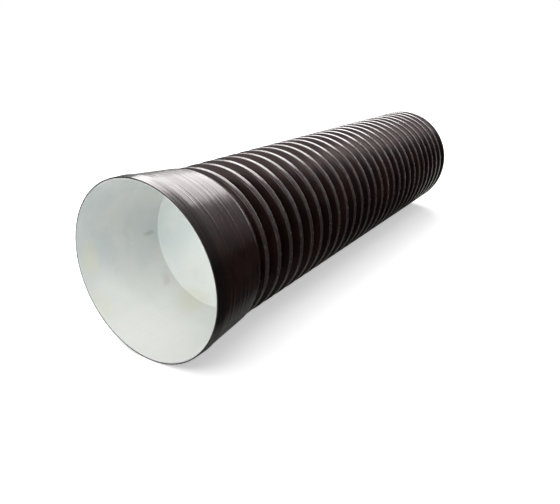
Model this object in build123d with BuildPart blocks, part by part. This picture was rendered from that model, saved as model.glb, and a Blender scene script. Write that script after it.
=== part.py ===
# Twin-wall drainage pipe used as the shaft of a well: a black corrugated wall outside,
# a smooth white liner inside, and a socket that flares at one end.
#
# Units are millimetres. The pipe's axis is X and Z is up. The origin is the centre of
# the plain end's face, and the socket opens towards -X.
# The two walls are welded to each other in every valley. Each rib is hollow.

import os
from math import atan2, degrees, radians, tan
from build123d import *

# Corrugated barrel
crest_diameter = 630.0      # over the ribs
rib_count = 27
rib_pitch = 81.4
rib_height = 37.0           # from the valley's outside to the crest
rib_base_width = 60.0
rib_crest_width = 25.0      # before its edges are rounded
crest_edge_radius = 9.0
plain_end_length = 10.6     # from the last rib's foot to the end face

# Walls
outer_wall_thickness = 3.0
liner_thickness = 2.6
rim_wall_thickness = 4.5    # the black wall is thicker at the rim

# Socket
socket_flare = 20.0         # how much further out the rim is than the seat, on the radius
collar_length = 46.0        # plain band behind the rim
collar_step = 2.4           # how far the band stands proud of the sleeve
sleeve_length = 256.0       # from the rim to the sleeve's back edge
sleeve_edge_radius = 5.0
seat_clearance = 1.5        # between the seat and another pipe's ribs, on the radius
seat_length = 24.0
shoulder_length = 100.0     # from the shoulder's corner to the bore
shoulder_blend_radius = 90.0  # rounds the corner between the seat and the shoulder
groove_length = 32.0        # from the sleeve to the first rib's foot

# Radii that follow from the sizes above
crest_radius = crest_diameter / 2
valley_radius = crest_radius - rib_height
liner_radius = valley_radius - outer_wall_thickness
bore_radius = liner_radius - liner_thickness
both_walls = outer_wall_thickness + liner_thickness
seat_radius = crest_radius + seat_clearance
sleeve_end_radius = seat_radius + both_walls
mouth_radius = sleeve_end_radius + socket_flare

# Places along the axis, counted back from the plain end
last_rib = -plain_end_length - rib_base_width / 2
first_rib = last_rib - (rib_count - 1) * rib_pitch
sleeve_end = first_rib - rib_base_width / 2 - groove_length
rim = sleeve_end - sleeve_length
collar_end = rim + collar_length
shoulder_corner = sleeve_end - outer_wall_thickness
bore_start = shoulder_corner + shoulder_length
rib_places = [first_rib + number * rib_pitch for number in range(rib_count)]

# Each rib is a trapezoid, and its hollow is the same form one wall further in
flank_angle = degrees(atan2(rib_height, (rib_base_width - rib_crest_width) / 2))
hollow_base_width = rib_base_width - 2 * outer_wall_thickness * tan(radians(flank_angle / 2))

# The shoulder is a cone, and the face between the two walls lies one liner outside it.
# The seat ends where the rounding of the shoulder's corner starts.
shoulder_angle = atan2(seat_radius - bore_radius, shoulder_length)
seat_end = shoulder_corner - shoulder_blend_radius * tan(shoulder_angle / 2)
seat_start = seat_end - seat_length
liner_bend = bore_start + liner_thickness * tan(shoulder_angle / 2)
valley_start = bore_start + both_walls * tan(shoulder_angle / 2)
liner_back_radius = sleeve_end_radius - outer_wall_thickness
liner_back = liner_bend - (liner_back_radius - liner_radius) / tan(shoulder_angle)

# The face between the two walls, as points of distance along the axis and radius
walls_meet = [
    (rim, mouth_radius - rim_wall_thickness),
    (liner_back, liner_back_radius),
    (liner_bend, liner_radius),
    (0.0, liner_radius),
]

# Black wall: the sleeve and the valleys are one band, and the ribs stand on it. The
# hollow of each rib and everything inside the face between the walls are taken away.
with BuildPart() as corrugated_wall:
    with BuildSketch(Plane.XZ) as wall_section:
        with BuildLine():
            Polyline(
                (rim, 0.0),
                (rim, mouth_radius),
                (collar_end, mouth_radius),
                (collar_end + collar_step, mouth_radius - collar_step),
                (sleeve_end, sleeve_end_radius),
                (valley_start, valley_radius),
                (0.0, valley_radius),
                (0.0, 0.0),
                close=True,
            )
        make_face()
        back_edge = wall_section.vertices().sort_by_distance((sleeve_end, sleeve_end_radius))
        fillet(back_edge[0], sleeve_edge_radius)
        with Locations(*[(place, valley_radius) for place in rib_places]):
            Trapezoid(
                rib_base_width,
                rib_height,
                flank_angle,
                align=(Align.CENTER, Align.MIN),
            )
        crest_corners = wall_section.vertices().filter_by(
            lambda corner: abs(corner.Y - crest_radius) < 0.01
        )
        fillet(crest_corners, crest_edge_radius)
        with Locations(*[(place, liner_radius) for place in rib_places]):
            Trapezoid(
                hollow_base_width,
                rib_height,
                flank_angle,
                align=(Align.CENTER, Align.MIN),
                mode=Mode.SUBTRACT,
            )
        with BuildLine():
            Polyline((rim, 0.0), *walls_meet, (0.0, 0.0), close=True)
        make_face(mode=Mode.SUBTRACT)
    revolve(axis=Axis.X)

# White liner: one smooth tube that follows the sleeve, the shoulder and the bore
with BuildPart() as smooth_liner:
    with BuildSketch(Plane.XZ) as liner_section:
        with BuildLine():
            Polyline(
                *walls_meet,
                (0.0, bore_radius),
                (bore_start, bore_radius),
                (shoulder_corner, seat_radius),
                (seat_start, seat_radius),
                (rim, mouth_radius - rim_wall_thickness - liner_thickness),
                close=True,
            )
        make_face()
        seat_corner = liner_section.vertices().sort_by_distance((shoulder_corner, seat_radius))
        fillet(seat_corner[0], shoulder_blend_radius)
    revolve(axis=Axis.X)

corrugated_wall.part.label = "corrugated_wall"
smooth_liner.part.label = "smooth_liner"

os.makedirs("parts", exist_ok=True)
export_step(corrugated_wall.part, "parts/corrugated_wall.step")
export_step(smooth_liner.part, "parts/smooth_liner.step")

crest_flat = rib_crest_width - 2 * crest_edge_radius * tan(radians(flank_angle) / 2)
print("total length", round(-rim, 2), "diameter at the rim", round(2 * mouth_radius, 2))
print("bore radius", round(bore_radius, 2), "length", round(-bore_start, 2))
print("seat radius", seat_radius, "from", round(seat_start, 2), "to", round(seat_end, 2))
print("flat on each crest", round(crest_flat, 2))
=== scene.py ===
# %% [markdown]
# # A twin-wall drainage pipe, black outside and white inside
#
# The pipe is the shaft of a drainage well. It lies on its side with its socket towards
# us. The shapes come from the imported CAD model, in metres: X runs along the pipe, from
# the rim of the socket at about -2.5 to the plain end at 0, and Z is up. This file adds
# the camera, the light, the finishes, and the fine relief that a mould leaves.

# %% Load the frame
import math

import bmesh
import bpy
from mathutils import Matrix, Vector
from mathutils.bvhtree import BVHTree


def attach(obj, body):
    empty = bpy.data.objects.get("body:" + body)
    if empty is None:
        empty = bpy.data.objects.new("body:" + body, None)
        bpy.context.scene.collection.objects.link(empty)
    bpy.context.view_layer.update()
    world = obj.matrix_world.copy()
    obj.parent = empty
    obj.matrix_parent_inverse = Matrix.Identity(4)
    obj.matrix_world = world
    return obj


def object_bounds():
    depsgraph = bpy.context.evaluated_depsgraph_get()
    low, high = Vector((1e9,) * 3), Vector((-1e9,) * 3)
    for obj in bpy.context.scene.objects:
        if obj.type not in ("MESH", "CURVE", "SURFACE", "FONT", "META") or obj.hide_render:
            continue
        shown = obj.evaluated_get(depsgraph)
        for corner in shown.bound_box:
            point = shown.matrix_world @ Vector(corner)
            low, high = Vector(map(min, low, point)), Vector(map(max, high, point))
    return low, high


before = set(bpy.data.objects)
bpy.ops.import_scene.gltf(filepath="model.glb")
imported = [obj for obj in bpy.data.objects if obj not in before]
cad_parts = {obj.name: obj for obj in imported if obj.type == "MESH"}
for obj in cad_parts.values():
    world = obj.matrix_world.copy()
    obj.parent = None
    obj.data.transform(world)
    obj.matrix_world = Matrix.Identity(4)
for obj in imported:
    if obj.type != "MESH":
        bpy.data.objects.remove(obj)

cad_box = [list(corner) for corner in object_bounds()]
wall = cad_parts["corrugated_wall"]
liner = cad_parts["smooth_liner"]
rim_x = cad_box[0][0]
rim_radius = cad_box[1][2]
print("CAD box", cad_box)

# %% [markdown]
# ## Camera
#
# The camera stands a little above the pipe, in front of the socket and to one side of
# it. Its place and lens come from measurements of the mouth and of the two long
# outlines. A camera in Blender looks along its own -Z, so its three axes are built from
# the two turns, sideways and down.

# %% Camera
camera_place = Vector((-3.601, -1.303, 0.737))
turn_sideways = 0.5753
turn_down = 0.3757
straight_up = Vector((0.0, 0.0, 1.0))

ahead_level = Vector((math.cos(turn_sideways), math.sin(turn_sideways), 0.0))
ahead = ahead_level * math.cos(turn_down) - straight_up * math.sin(turn_down)
right = ahead_level.cross(straight_up).normalized()
above = right.cross(ahead).normalized()

camera_data = bpy.data.cameras.new("camera")
camera_data.sensor_width = 36.0
camera_data.lens = 33.73
camera = bpy.data.objects.new("camera", camera_data)
bpy.context.scene.collection.objects.link(camera)
axes = Matrix((right, above, -ahead)).transposed()
camera.matrix_world = Matrix.Translation(camera_place) @ axes.to_4x4()
bpy.context.scene.camera = camera
print("camera looks along", [round(number, 3) for number in ahead])

# %% [markdown]
# ## Helpers for shader nodes
#
# The floor, the sky and both plastics are built from the same few kinds of shader node.
# Each node could be written out in four or five lines, but then the thread gets lost. So
# small functions place the nodes. They take plain values or other nodes' outputs, and
# return the output that the next node reads.


# %% Helpers for shader nodes
def fill(tree, socket, item):
    """Sets a socket to a plain value, or links it to another node's output."""
    if isinstance(item, bpy.types.NodeSocket):
        tree.links.new(item, socket)
    else:
        socket.default_value = item


def math_node(tree, operation, *items, clamp=False):
    """A Math node."""
    node = tree.nodes.new("ShaderNodeMath")
    node.operation = operation
    node.use_clamp = clamp
    for socket, item in zip(node.inputs, items):
        fill(tree, socket, item)
    return node.outputs[0]


def vector_node(tree, operation, *items):
    """A Vector Math node. A length or a dot product comes out as a number."""
    node = tree.nodes.new("ShaderNodeVectorMath")
    node.operation = operation
    for socket, item in zip(node.inputs, items):
        fill(tree, socket, item)
    return node.outputs["Value" if operation in ("LENGTH", "DOT_PRODUCT") else "Vector"]


def split_node(tree, vector):
    """The X, Y and Z of a vector."""
    node = tree.nodes.new("ShaderNodeSeparateXYZ")
    tree.links.new(vector, node.inputs[0])
    return [node.outputs[label] for label in "XYZ"]


def range_node(tree, item, low, high, out_low=0.0, out_high=1.0, soft=True):
    """Turns the span low to high into out_low to out_high, with soft or sharp ends."""
    node = tree.nodes.new("ShaderNodeMapRange")
    node.interpolation_type = "SMOOTHSTEP" if soft else "LINEAR"
    labels = ("Value", "From Min", "From Max", "To Min", "To Max")
    for label, value in zip(labels, (item, low, high, out_low, out_high)):
        fill(tree, node.inputs[label], value)
    return node.outputs["Result"]


def mix_colours(tree, amount, first, second):
    """A mix of two colours: the first where the amount is 0, the second where it is 1."""
    node = tree.nodes.new("ShaderNodeMix")
    node.data_type = "RGBA"
    sockets = (node.inputs[0], node.inputs[6], node.inputs[7])
    for socket, item in zip(sockets, (amount, first, second)):
        fill(tree, socket, item)
    return node.outputs[2]


print("node helpers ready")

# %% [markdown]
# ## Floor
#
# The pipe rests on the rim of its socket and on its last rib, so the floor is one large
# face that leans a little to touch both. Further out it glows up to white, so that no
# horizon shows. The glossy plastic mirrors the floor beside it, and a pale floor would
# light up the side of the pipe that should be nearly black. So in reflections alone the
# floor is painted dark on our side of the pipe: a painted shade, as if the pipe's own
# shadow lay there. Past the plain end the edge of the painted shade swings further out,
# which keeps thin lines of light on the far ribs.

# %% Floor
last_crest_x = -0.0266
last_crest_radius = 0.315
floor_reach = 40.0
floor_lean = math.atan2(rim_radius - last_crest_radius, last_crest_x - rim_x)

floor_mesh = bpy.data.meshes.new("floor")
floor_build = bmesh.new()
for turn_x, turn_y in ((-1, -1), (1, -1), (1, 1), (-1, 1)):
    x, y = turn_x * floor_reach, turn_y * floor_reach
    height = -rim_radius + (x - rim_x) * math.tan(floor_lean)
    floor_build.verts.new((x, y, height))
floor_build.faces.new(floor_build.verts)
floor_build.to_mesh(floor_mesh)
floor_build.free()
floor = bpy.data.objects.new("floor", floor_mesh)
bpy.context.scene.collection.objects.link(floor)
print("floor leans", round(math.degrees(floor_lean), 2), "degrees")


# %% Floor finish
def start_finish(name):
    """A material with its shader and a node that gives places on the object."""
    finish = bpy.data.materials.new(name)
    finish.use_nodes = True
    tree = finish.node_tree
    shader = tree.nodes["Principled BSDF"]
    place = tree.nodes.new("ShaderNodeTexCoord").outputs["Object"]
    return finish, tree, shader, place


pure_white = (1.0, 1.0, 1.0, 1.0)
floor_pale = (0.9, 0.9, 0.9, 1.0)
# Painted shade, seen only in reflections: the floor beside the pipe, as if in its shadow.
floor_painted_shade = (0.045, 0.040, 0.037, 1.0)
dark_start, dark_full = -0.15, -0.42  # Y, beside the pipe
swing_reach, swing_width = 10.0, 3.4  # how far out the dark edge swings over this X
glow_start, glow_full = 2.5, 6.0  # distance from the plain end
glow_least = 0.5

floor_finish, tree, shader, place = start_finish("pale_floor")
ray = tree.nodes.new("ShaderNodeLightPath").outputs
floor_x, floor_y = split_node(tree, place)[:2]
swing = range_node(tree, floor_x, 0.0, swing_reach, 0.0, swing_width, soft=False)
beside = math_node(tree, "ADD", floor_y, swing)
near_side = range_node(tree, beside, dark_start, dark_full, soft=False)
mirrored = math_node(tree, "MULTIPLY", near_side, ray["Is Glossy Ray"])
# Painted shade: in reflections the floor on our side of the pipe is dark.
floor_colour = mix_colours(tree, mirrored, floor_pale, floor_painted_shade)
tree.links.new(floor_colour, shader.inputs["Base Color"])

outward = vector_node(tree, "LENGTH", place)
glow = range_node(tree, outward, glow_start, glow_full, glow_least, 1.0, soft=False)
seen_glow = math_node(tree, "MULTIPLY", ray["Is Camera Ray"], glow)
tree.links.new(seen_glow, shader.inputs["Emission Strength"])
shader.inputs["Emission Color"].default_value = pure_white
shader.inputs["Roughness"].default_value = 0.9
shader.inputs["Specular IOR Level"].default_value = 0.0
floor_mesh.materials.append(floor_finish)
print("floor finish has", len(tree.nodes), "nodes")

# %% [markdown]
# ## Lamps
#
# The light is that of a studio with large soft panels. One stands above and beyond the
# pipe and lights its top. A weaker one in front lights the mouth. Inside, white plastic
# hands the light on from wall to wall. Many bounces could carry it all the way in, but
# they are slow and noisy, so a small lamp in the bore sends a cone of light towards the
# socket.


# %% Lamps
def soft_panel(name, place, aim, width, height, power):
    """A large flat lamp that faces a point."""
    data = bpy.data.lights.new(name, "AREA")
    data.shape = "RECTANGLE"
    data.size = width
    data.size_y = height
    data.energy = power
    lamp = bpy.data.objects.new(name, data)
    lamp.location = place
    facing = Vector(aim) - Vector(place)
    lamp.rotation_euler = facing.to_track_quat("-Z", "Y").to_euler()
    lamp.visible_camera = False
    bpy.context.scene.collection.objects.link(lamp)
    return lamp


bore_cone = math.radians(60.0)
lamps = {}
for name, place, aim, width, height, power in (
    ("panel_beyond", (2.2, 2.2, 3.4), (-1.2, 0.0, 0.2), 5.0, 3.0, 315.0),
    ("panel_in_bore", (-0.5, 0.0, 0.0), (-2.0, 0.0, 0.0), 0.3, 0.3, 3.2),
    ("panel_front", (-4.4, -0.9, 3.2), (-2.4, 0.0, -0.2), 3.2, 2.6, 98.0),
):
    lamps[name] = soft_panel(name, place, aim, width, height, power)
lamps["panel_in_bore"].data.spread = bore_cone
print("lamps in watts", {name: lamp.data.energy for name, lamp in lamps.items()})

# %% [markdown]
# ## Sky
#
# Glossy black plastic shows little colour of its own. What shapes it is what it mirrors.
# The background that we see is white, but a white sky all round would turn the plastic
# grey. So all other rays meet a dim sky, brighter overhead and towards the far end. A
# studio adds bright cards that only the reflections show, and so does this sky. A sector
# beyond the far end draws bright lines on the ribs, most of all on the far ones, and a
# patch high on the left fills in those near the sleeve.

# %% Sky
far_end_way = (0.97, 0.24, 0.0)
high_left_way = (-0.55, 0.60, 0.58)
rise_span = (-0.05, 0.75)  # the way up, from just under the horizon
horizon_light, overhead_light = 0.04, 1.15
fade_span, least_fade = (0.42, 0.72), 0.28
sector_span, sector_light = (0.90, 0.98), 5.5
patch_span, patch_light = (0.76, 0.97), 1.6

surround = bpy.data.worlds.new("surround")
surround.use_nodes = True
tree = surround.node_tree
backdrop = tree.nodes["Background"]
ray = tree.nodes.new("ShaderNodeLightPath").outputs
way = tree.nodes.new("ShaderNodeTexCoord").outputs["Generated"]
way_up = split_node(tree, way)[2]
to_far_end = vector_node(tree, "DOT_PRODUCT", way, far_end_way)
to_high_left = vector_node(tree, "DOT_PRODUCT", way, high_left_way)

rise = range_node(tree, way_up, *rise_span, horizon_light, overhead_light, soft=False)
fade = range_node(tree, to_far_end, *fade_span, least_fade, 1.0, soft=False)
dim_sky = math_node(tree, "MULTIPLY", rise, fade)
sector = range_node(tree, to_far_end, *sector_span, 0.0, sector_light)
patch = range_node(tree, to_high_left, *patch_span, 0.0, patch_light)
cards = math_node(tree, "ADD", sector, patch)
mirrored = math_node(tree, "MULTIPLY_ADD", cards, ray["Is Glossy Ray"], dim_sky)
sky_colour = mix_colours(tree, ray["Is Camera Ray"], mirrored, pure_white)
tree.links.new(sky_colour, backdrop.inputs["Color"])
backdrop.inputs["Strength"].default_value = 1.0
bpy.context.scene.world = surround
bpy.context.scene.view_settings.view_transform = "Standard"
print("sky has", len(tree.nodes), "nodes")

# %% [markdown]
# ## Effects that both plastics share
#
# A shader node group is a small machine that is built once and used in many materials.
# Each group here takes a place on the pipe and puts out a mask from 0 to 1, or a height
# for a bump. The place is the object's own coordinates, in metres, so the effect has its
# real size and stays where it is from every side. Painted images could do the same, but
# they would blur close up and need the surface laid out flat first.


# %% Helpers for groups
def new_group(name, inputs, outputs):
    """An empty shader node group with named sockets."""
    group = bpy.data.node_groups.new(name, "ShaderNodeTree")
    kinds = {"vector": "NodeSocketVector", "value": "NodeSocketFloat"}
    for label, kind, start in inputs:
        socket = group.interface.new_socket(label, in_out="INPUT", socket_type=kinds[kind])
        if start is not None:
            socket.default_value = start
    for label, kind in outputs:
        group.interface.new_socket(label, in_out="OUTPUT", socket_type=kinds[kind])
    entry = group.nodes.new("NodeGroupInput").outputs
    leave = group.nodes.new("NodeGroupOutput")
    return group, entry, leave


def send_out(group, leave, **results):
    """Links a group's results to its output sockets."""
    for label, item in results.items():
        group.links.new(item, leave.inputs[label])
    print("group", group.name, "has", len(group.nodes), "nodes")


def use_group(tree, group, place, **values):
    """Places a group in a node tree and sets its values."""
    node = tree.nodes.new("ShaderNodeGroup")
    node.node_tree = group
    tree.links.new(place, node.inputs["Place"])
    for label, value in values.items():
        fill(tree, node.inputs[label.replace("_", " ")], value)
    return node.outputs


def noise_node(tree, place, scale, detail=3.0, roughness=0.5, distortion=0.0, output="Fac"):
    """Soft noise at a place: a value about 0.5, or a colour of three such values."""
    node = tree.nodes.new("ShaderNodeTexNoise")
    labels = ("Vector", "Scale", "Detail", "Roughness", "Distortion")
    for label, value in zip(labels, (place, scale, detail, roughness, distortion)):
        fill(tree, node.inputs[label], value)
    return node.outputs[output]


print("group helpers ready")

# %% [markdown]
# ### Round the pipe and along it
#
# Marks on a pipe run along it or round it, so plain X, Y and Z are awkward. This group
# turns a place into pipe coordinates: the distance along the axis, the place round the
# pipe as a point on a circle, and the distance from the axis. Noise that reads the
# circle has no seam where the turn would jump from 360 degrees back to 0.

# %% Pipe coordinates
least_radius = 0.01  # keeps the division safe on the axis

pipe_place, entry, leave = new_group(
    "pipe_place",
    [("Place", "vector", None), ("Along", "value", 1.0), ("Round", "value", 1.0)],
    [("Vector", "vector"), ("Radius", "value"), ("Distance", "value")],
)
x, y, z = split_node(pipe_place, entry["Place"])
y_squared = math_node(pipe_place, "MULTIPLY", y, y)
z_squared = math_node(pipe_place, "MULTIPLY", z, z)
radius = math_node(pipe_place, "SQRT", math_node(pipe_place, "ADD", y_squared, z_squared))
safe_radius = math_node(pipe_place, "MAXIMUM", radius, least_radius)
join = pipe_place.nodes.new("ShaderNodeCombineXYZ")
fill(pipe_place, join.inputs["X"], math_node(pipe_place, "MULTIPLY", x, entry["Along"]))
for label, item in (("Y", y), ("Z", z)):
    on_circle = math_node(pipe_place, "DIVIDE", item, safe_radius)
    on_circle = math_node(pipe_place, "MULTIPLY", on_circle, entry["Round"])
    fill(pipe_place, join.inputs[label], on_circle)
send_out(pipe_place, leave, Vector=join.outputs[0], Radius=radius, Distance=x)

# %% [markdown]
# ### Flow lines
#
# Plastic that is pushed through a die carries long faint lines, and a turning mould
# leaves faint rings. Both are noise that is stretched: the group gets coordinates with a
# large scale one way and a small one the other way. Fine sets how much of a second,
# finer set of lines is laid over the broad one.

# %% Flow lines group
flow_lines, entry, leave = new_group(
    "flow_lines",
    [
        ("Place", "vector", None),
        ("Along", "value", 1.0),
        ("Round", "value", 60.0),
        ("Fine", "value", 0.35),
    ],
    [("Height", "value"), ("Mask", "value")],
)
pipe = use_group(
    flow_lines, pipe_place, entry["Place"], Along=entry["Along"], Round=entry["Round"]
)
broad = noise_node(flow_lines, pipe["Vector"], scale=1.0, detail=2.0, roughness=0.55)
fine = noise_node(flow_lines, pipe["Vector"], scale=4.3, detail=2.0, roughness=0.6)
difference = math_node(flow_lines, "SUBTRACT", fine, broad)
share = math_node(flow_lines, "MULTIPLY", difference, entry["Fine"])
height = math_node(flow_lines, "ADD", broad, share)
send_out(flow_lines, leave, Height=height, Mask=range_node(flow_lines, height, 0.42, 0.62))

# %% [markdown]
# ### Dust and smudges
#
# A pipe that has stood in a yard carries a thin grey haze, thicker on the faces that
# look up, and a few smudges from hands and straps. Soft large noise makes the haze, and
# small noise breaks it up into specks.


# %% Dust group
def upward_node(tree):
    """How far a face looks up, from -1 to 1."""
    geometry = tree.nodes.new("ShaderNodeNewGeometry")
    return split_node(tree, geometry.outputs["Normal"])[2]


least_dust = 0.25  # on faces that don't look up

yard_dust, entry, leave = new_group(
    "yard_dust",
    [("Place", "vector", None), ("Upward", "value", 0.6)],
    [("Haze", "value"), ("Specks", "value"), ("Smudge", "value")],
)
spot = entry["Place"]
patches = noise_node(yard_dust, spot, scale=3.2, detail=4.0, roughness=0.6, distortion=0.3)
grit = noise_node(yard_dust, spot, scale=420.0, detail=2.0, roughness=0.6)
smudge = noise_node(yard_dust, spot, scale=7.5, detail=5.0, roughness=0.65, distortion=1.2)
looks_up = range_node(yard_dust, upward_node(yard_dust), -0.1, 0.95)
upward = math_node(yard_dust, "MULTIPLY", looks_up, entry["Upward"])
layer = math_node(yard_dust, "ADD", upward, least_dust)
uneven = range_node(yard_dust, patches, 0.38, 0.7, 0.15, 1.0)
send_out(
    yard_dust,
    leave,
    Haze=math_node(yard_dust, "MULTIPLY", uneven, layer, clamp=True),
    Specks=range_node(yard_dust, grit, 0.64, 0.74),
    Smudge=range_node(yard_dust, smudge, 0.56, 0.72),
)

# %% [markdown]
# ### Scuffs and a painted highlight on the high places
#
# The crests of the ribs touch the ground, straps and other pipes first, so they are
# rubbed duller and a shade greyer. Crest is high where the distance from the axis is
# above a chosen radius, and the black plastic also uses it for a painted highlight
# along every crest. Mask is the same, broken up by noise that runs round the pipe.

# %% Scuff and highlight group
scuffs_and_highlight, entry, leave = new_group(
    "scuffs_and_highlight",
    [
        ("Place", "vector", None),
        ("Start radius", "value", 0.31),
        ("Full radius", "value", 0.315),
    ],
    [("Mask", "value"), ("Crest", "value")],
)
pipe = use_group(scuffs_and_highlight, pipe_place, entry["Place"], Along=90.0, Round=9.0)
crest = range_node(scuffs_and_highlight, pipe["Radius"], entry["Start radius"], entry["Full radius"])
scratches = noise_node(
    scuffs_and_highlight, pipe["Vector"], scale=1.0, detail=5.0, roughness=0.7, distortion=0.4
)
broken = range_node(scuffs_and_highlight, scratches, 0.46, 0.7)
send_out(scuffs_and_highlight, leave, Mask=math_node(scuffs_and_highlight, "MULTIPLY", crest, broken), Crest=crest)

# %% [markdown]
# ### A stain in one place
#
# A smudge or a yellowed patch lies in one place, so its mask is the distance from a
# centre, measured in the stain's own reach along X, Y and Z. Noise pushes the place
# about before it is measured, which gives the stain a torn, natural edge. The noise is
# made to run both ways from 0 first, or it would push the whole stain to one side.

# %% Stain group
noise_middle = (0.5, 0.5, 0.5)
push_reach = 0.05
edge_inner, edge_outer = 0.35, 1.1  # in reaches from the centre

soft_stain, entry, leave = new_group(
    "soft_stain",
    [("Place", "vector", None), ("Centre", "vector", None), ("Reach", "vector", None)],
    [("Mask", "value")],
)
wander = noise_node(soft_stain, entry["Place"], scale=14.0, detail=4.0, output="Color")
both_ways = vector_node(soft_stain, "SUBTRACT", wander, noise_middle)
pushed = vector_node(soft_stain, "MULTIPLY_ADD", both_ways, (push_reach,) * 3, entry["Place"])
centred = vector_node(soft_stain, "SUBTRACT", pushed, entry["Centre"])
in_reaches = vector_node(soft_stain, "DIVIDE", centred, entry["Reach"])
away = vector_node(soft_stain, "LENGTH", in_reaches)
send_out(soft_stain, leave, Mask=range_node(soft_stain, away, edge_inner, edge_outer, 1.0, 0.0))

# %% [markdown]
# ## Black plastic
#
# The outer wall is polyethylene coloured with carbon black. It isn't a neutral black: it
# looks a warm, very dark brown where light falls on it. The surface is smooth but not
# polished, so it mirrors the bright sky as a broad pale sheen. The colour varies in
# broad bands. The band behind the rim is painted a shade darker, a painted shade for the
# dimmer sheen that it shows. The crests are painted a little lighter: partly wear, and
# partly a painted highlight laid evenly along every crest. Dust and specks lie on top,
# very thin. All of it is mixed layer by layer, from the plastic outwards, as it would
# come about.


# %% Helpers for a finish
def coat(tree, under, colour, mask, strength):
    """Lays a colour over what is under it where the mask is high."""
    return mix_colours(tree, math_node(tree, "MULTIPLY", mask, strength), under, colour)


def add_up(tree, start, *parts):
    """A start value plus each mask times its strength."""
    for mask, strength in parts:
        start = math_node(tree, "ADD", math_node(tree, "MULTIPLY", mask, strength), start)
    return start


def bump_node(tree, height, distance, strength, under=None):
    """A bump of a real depth in metres, on top of another bump if one is given."""
    node = tree.nodes.new("ShaderNodeBump")
    node.inputs["Distance"].default_value = distance
    node.inputs["Strength"].default_value = strength
    tree.links.new(height, node.inputs["Height"])
    if under is not None:
        tree.links.new(under, node.inputs["Normal"])
    return node.outputs["Normal"]


print("finish helpers ready")

# %% Black plastic: colour
deep_black = (0.0050, 0.0016, 0.0013, 1.0)
warm_black = (0.0130, 0.0044, 0.0036, 1.0)
# Painted shade: the band behind the rim gets a darker colour for its dimmer sheen.
collar_painted_shade = (0.0030, 0.0022, 0.0020, 1.0)
grey_haze = (0.36, 0.33, 0.30, 1.0)
pale_grit = (0.42, 0.40, 0.37, 1.0)
# Partly wear and partly a painted highlight: the lighter grey of the crests.
worn_and_highlight_grey = (0.24, 0.205, 0.20, 1.0)
collar_back = (-2.432, -2.420)  # X, where the darker band behind the rim ends
# Along the ribs the painted crest highlight and the wear count in full, on the sleeve only a
# small share.
ribs_start = (-2.215, -2.19)  # X, from here on wear counts in full
sleeve_wear_and_highlight = 0.06
# The first strength is the painted highlight along every crest, the second is real scuffing.
even_highlight, rub_wear = 0.12, 0.08

black, tree, shader, place = start_finish("black_plastic_wall")
rings = use_group(tree, flow_lines, place, Along=34.0, Round=0.12, Fine=0.08)
bands = use_group(tree, flow_lines, place, Along=9.0, Round=1.5)
dust = use_group(tree, yard_dust, place, Upward=0.7)
crests = use_group(tree, scuffs_and_highlight, place, Start_radius=0.3118, Full_radius=0.3144)
distance = use_group(tree, pipe_place, place)["Distance"]

on_shaded_collar = range_node(tree, distance, *collar_back, 1.0, 0.0)
on_ribs = range_node(tree, distance, *ribs_start, sleeve_wear_and_highlight, 1.0)
rubbed = math_node(tree, "MULTIPLY", crests["Mask"], on_ribs)
# Painted highlight: every crest is painted evenly lighter, for the thin lines of light along
# it.
crest_highlight = math_node(tree, "MULTIPLY", crests["Crest"], on_ribs)
wear_and_highlight = add_up(tree, math_node(tree, "MULTIPLY", crest_highlight, even_highlight), (rubbed, rub_wear))

layers = mix_colours(tree, bands["Mask"], deep_black, warm_black)
# Painted shade: the band behind the rim is painted darker.
layers = mix_colours(tree, on_shaded_collar, layers, collar_painted_shade)
layers = coat(tree, layers, grey_haze, dust["Haze"], strength=0.014)
layers = coat(tree, layers, pale_grit, dust["Specks"], strength=0.012)
# Wear and painted highlight: the crests are painted a lighter grey.
layers = mix_colours(tree, wear_and_highlight, layers, worn_and_highlight_grey)
tree.links.new(layers, shader.inputs["Base Color"])
print("black plastic has", len(tree.nodes), "nodes for its colour")

# %% [markdown]
# ### How the black plastic shines
#
# The sheen needs its own variation, or the pipe looks like glass. Roughness rises in the
# rings, under haze and smudges, and where the crests are rubbed. Three bumps lie on each
# other: a soft waviness that makes the lines on the ribs uneven, the faint rings that a
# turning mould leaves, and a very fine grain. They are too slight to be worth modelling.

# %% Black plastic: sheen and relief
clean_roughness = 0.175
roughness = add_up(
    tree,
    clean_roughness,
    (rings["Mask"], 0.07),
    (dust["Haze"], 0.12),
    (rubbed, 0.12),
    (dust["Smudge"], 0.06),
)
tree.links.new(roughness, shader.inputs["Roughness"])

waves = noise_node(tree, place, scale=9.0, detail=2.0)
grain = noise_node(tree, place, scale=900.0, detail=2.0, roughness=0.6)
relief = bump_node(tree, waves, distance=0.0022, strength=0.35)
relief = bump_node(tree, rings["Height"], distance=0.0022, strength=0.8, under=relief)
relief = bump_node(tree, grain, distance=0.00003, strength=0.6, under=relief)
tree.links.new(relief, shader.inputs["Normal"])
shader.inputs["IOR"].default_value = 1.5
shader.inputs["Specular IOR Level"].default_value = 0.4
shader.inputs["Specular Tint"].default_value = (1.0, 0.80, 0.79, 1.0)
wall.data.materials[0] = black
print("black plastic has", len(tree.nodes), "nodes")

# %% [markdown]
# ## Fine ridges on the sleeve
#
# The mould of the sleeve leaves a few ridges, about as thick as a fingernail, that run
# right round it. They catch the light as thin lines. A bump could fake them, but a real
# ridge also shows at the outline and in the exported mesh, so they are turned here: a
# small section is carried round the pipe's axis. The wall's mesh is made of flat facets
# that lie up to a quarter of a millimetre inside the true circle, so each point of a
# ridge looks inward for the wall's own surface and stands a set height above it. The
# normals are those of the round form, as the wall's are.

# %% Find the wall's surface
outside_radius = 0.4  # clear of the whole pipe
wall_surface = BVHTree.FromPolygons(
    [corner.co for corner in wall.data.vertices],
    [tuple(face.vertices) for face in wall.data.polygons],
)


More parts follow.
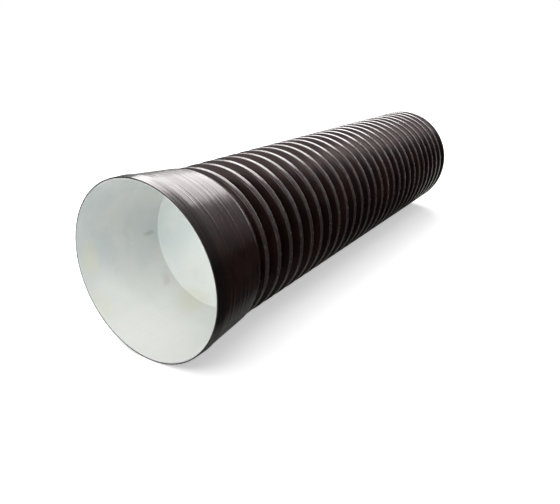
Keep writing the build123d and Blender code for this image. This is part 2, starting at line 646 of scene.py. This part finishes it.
def surface_radius(x, turn_y, turn_z):
    """The wall's radius at a place and a turn, found by looking inward."""
    start = Vector((x, outside_radius * turn_y, outside_radius * turn_z))
    inward = Vector((0.0, -turn_y, -turn_z))
    return outside_radius - wall_surface.ray_cast(start, inward)[3]


def turn_section(build, section, sides, normals):
    """Carries a closed section of (along, lift, slope) points round the wall."""
    loops = []
    for number in range(sides):
        angle = 2.0 * math.pi * number / sides
        turn_y, turn_z = math.cos(angle), math.sin(angle)
        loop = []
        for x, lift, slope in section:
            r = surface_radius(x, turn_y, turn_z) + lift
            loop.append(build.verts.new((x, r * turn_y, r * turn_z)))
            normals.append(Vector((-slope, turn_y, turn_z)).normalized())
        loops.append(loop)
    for number, loop in enumerate(loops):
        following = loops[(number + 1) % sides]
        for corner in range(len(section)):
            after = (corner + 1) % len(section)
            build.faces.new((loop[corner], loop[after], following[after], following[corner]))


print("sleeve radius at its middle", round(surface_radius(-2.35, 1.0, 0.0), 4))

# %% Sleeve ridges
sleeve_front_x, sleeve_front_radius = -2.429, 0.3397
sleeve_back_x, sleeve_back_radius = -2.219, 0.3221
ridge_places = (-2.4020, -2.3795, -2.3417, -2.3126, -2.2887, -2.2563)
ridge_widths = (0.009, 0.010, 0.008, 0.008, 0.007, 0.009)
ridge_steps = (-0.5, -0.36, -0.2, 0.0, 0.2, 0.36, 0.5)  # across a ridge, in widths
ridge_rise = 0.00045
ridge_foot = 0.00005
ridge_sink = 0.0006
ridge_sides = 288

sleeve_slope = (sleeve_back_radius - sleeve_front_radius) / (sleeve_back_x - sleeve_front_x)
ridge_build = bmesh.new()
ridge_normals = []
for place_x, width in zip(ridge_places, ridge_widths):
    section = []
    for along in ridge_steps:
        lift = ridge_rise * math.cos(math.pi * along) ** 2 - ridge_foot
        slope = sleeve_slope - ridge_rise * math.pi * math.sin(2.0 * math.pi * along) / width
        section.append((place_x + along * width, lift, slope))
    for along in (ridge_steps[-1], ridge_steps[0]):
        section.append((place_x + along * width, -ridge_sink, sleeve_slope))
    turn_section(ridge_build, section, ridge_sides, ridge_normals)
bmesh.ops.recalc_face_normals(ridge_build, faces=ridge_build.faces)
for face in ridge_build.faces:
    face.smooth = True
ridge_mesh = bpy.data.meshes.new("sleeve_ridges")
ridge_build.to_mesh(ridge_mesh)
ridge_build.free()
ridge_mesh.normals_split_custom_set_from_vertices(ridge_normals)
ridges = bpy.data.objects.new("sleeve_ridges", ridge_mesh)
bpy.context.scene.collection.objects.link(ridges)
ridge_mesh.materials.append(black)
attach(ridges, "root")
print("sleeve ridges", len(ridge_places), "with", len(ridge_mesh.polygons), "faces")

# %% [markdown]
# ## White plastic
#
# The liner is the same plastic coloured white, and a little green-blue in the shade.
# Clouds of a cooler white run through it, and long die lines run along the bore. The
# faces that look up are painted whiter, as painted light from above, and a thin grey
# haze of dust lies over it. A few yellowish patches, a pink rub and a grey scuff lie in
# the socket, where other pipes and hands have touched it. Each is a stain with its own
# place, so that it sits where it was seen.

# %% White plastic: colour
cool_white = (0.71, 0.76, 0.76, 1.0)
clean_white = (0.80, 0.82, 0.80, 1.0)
# Painted light: a whiter colour for the faces that look up, as if lit from above.
upward_light_white = (0.92, 0.92, 0.88, 1.0)
most_upward_light = 0.8
die_grey = (0.70, 0.72, 0.70, 1.0)
yard_grey = (0.62, 0.60, 0.54, 1.0)
smudge_grey = (0.60, 0.60, 0.58, 1.0)
marks = (  # name, centre, reach, strength, colour
    ("yellowed_left", (-2.43, 0.33, -0.02), (0.05, 0.10, 0.09), 0.45, (0.80, 0.79, 0.62, 1.0)),
    ("yellowed_foot", (-2.45, 0.26, -0.20), (0.05, 0.09, 0.08), 0.40, (0.84, 0.82, 0.66, 1.0)),
    ("yellowed_low", (-2.13, 0.09, -0.26), (0.09, 0.09, 0.08), 0.45, (0.80, 0.77, 0.60, 1.0)),
    ("pink_scuff", (-2.16, 0.212, -0.19), (0.024, 0.026, 0.04), 0.30, (0.66, 0.56, 0.52, 1.0)),
    ("grey_scuff", (-2.158, 0.287, 0.003), (0.036, 0.03, 0.012), 0.50, (0.44, 0.44, 0.41, 1.0)),
)

white, tree, shader, place = start_finish("white_plastic_liner")
die_lines = use_group(tree, flow_lines, place, Along=1.2, Round=34.0)
turn_lines = use_group(tree, flow_lines, place, Along=70.0, Round=0.8)
dust = use_group(tree, yard_dust, place, Upward=0.5)
cloud = noise_node(tree, place, scale=5.5, roughness=0.55, distortion=0.6)
# Painted light: the more a face looks up, the whiter it is painted.
upward_light = range_node(tree, upward_node(tree), 0.0, 0.9, 0.0, most_upward_light)

layers = mix_colours(tree, range_node(tree, cloud, 0.36, 0.66), cool_white, clean_white)
layers = mix_colours(tree, upward_light, layers, upward_light_white)
for label, centre, reach, strength, tint in marks:
    stain = use_group(tree, soft_stain, place, Centre=centre, Reach=reach)
    stain["Mask"].node.label = label
    layers = coat(tree, layers, tint, stain["Mask"], strength)
layers = coat(tree, layers, die_grey, die_lines["Mask"], strength=0.09)
layers = coat(tree, layers, yard_grey, dust["Haze"], strength=0.10)
layers = coat(tree, layers, smudge_grey, dust["Smudge"], strength=0.10)
tree.links.new(layers, shader.inputs["Base Color"])
print("white plastic has", len(tree.nodes), "nodes for its colour")

# %% [markdown]
# ### How the white plastic shines
#
# The liner is satin, and a little duller in the die lines and under haze. Its bumps are
# slight: soft lumps, fine rings from turning, and a grain. They keep the even white from
# looking like paper.

# %% White plastic: sheen and relief
clean_roughness = 0.38
roughness = add_up(tree, clean_roughness, (die_lines["Mask"], 0.08), (dust["Haze"], 0.15))
tree.links.new(roughness, shader.inputs["Roughness"])

lump = noise_node(tree, place, scale=12.0, detail=2.0)
grain = noise_node(tree, place, scale=700.0, detail=2.0, roughness=0.55)
relief = bump_node(tree, lump, distance=0.0015, strength=0.3)
relief = bump_node(tree, turn_lines["Height"], distance=0.0004, strength=0.4, under=relief)
relief = bump_node(tree, grain, distance=0.00006, strength=0.5, under=relief)
tree.links.new(relief, shader.inputs["Normal"])
shader.inputs["IOR"].default_value = 1.5
liner.data.materials[0] = white
print("white plastic has", len(tree.nodes), "nodes")
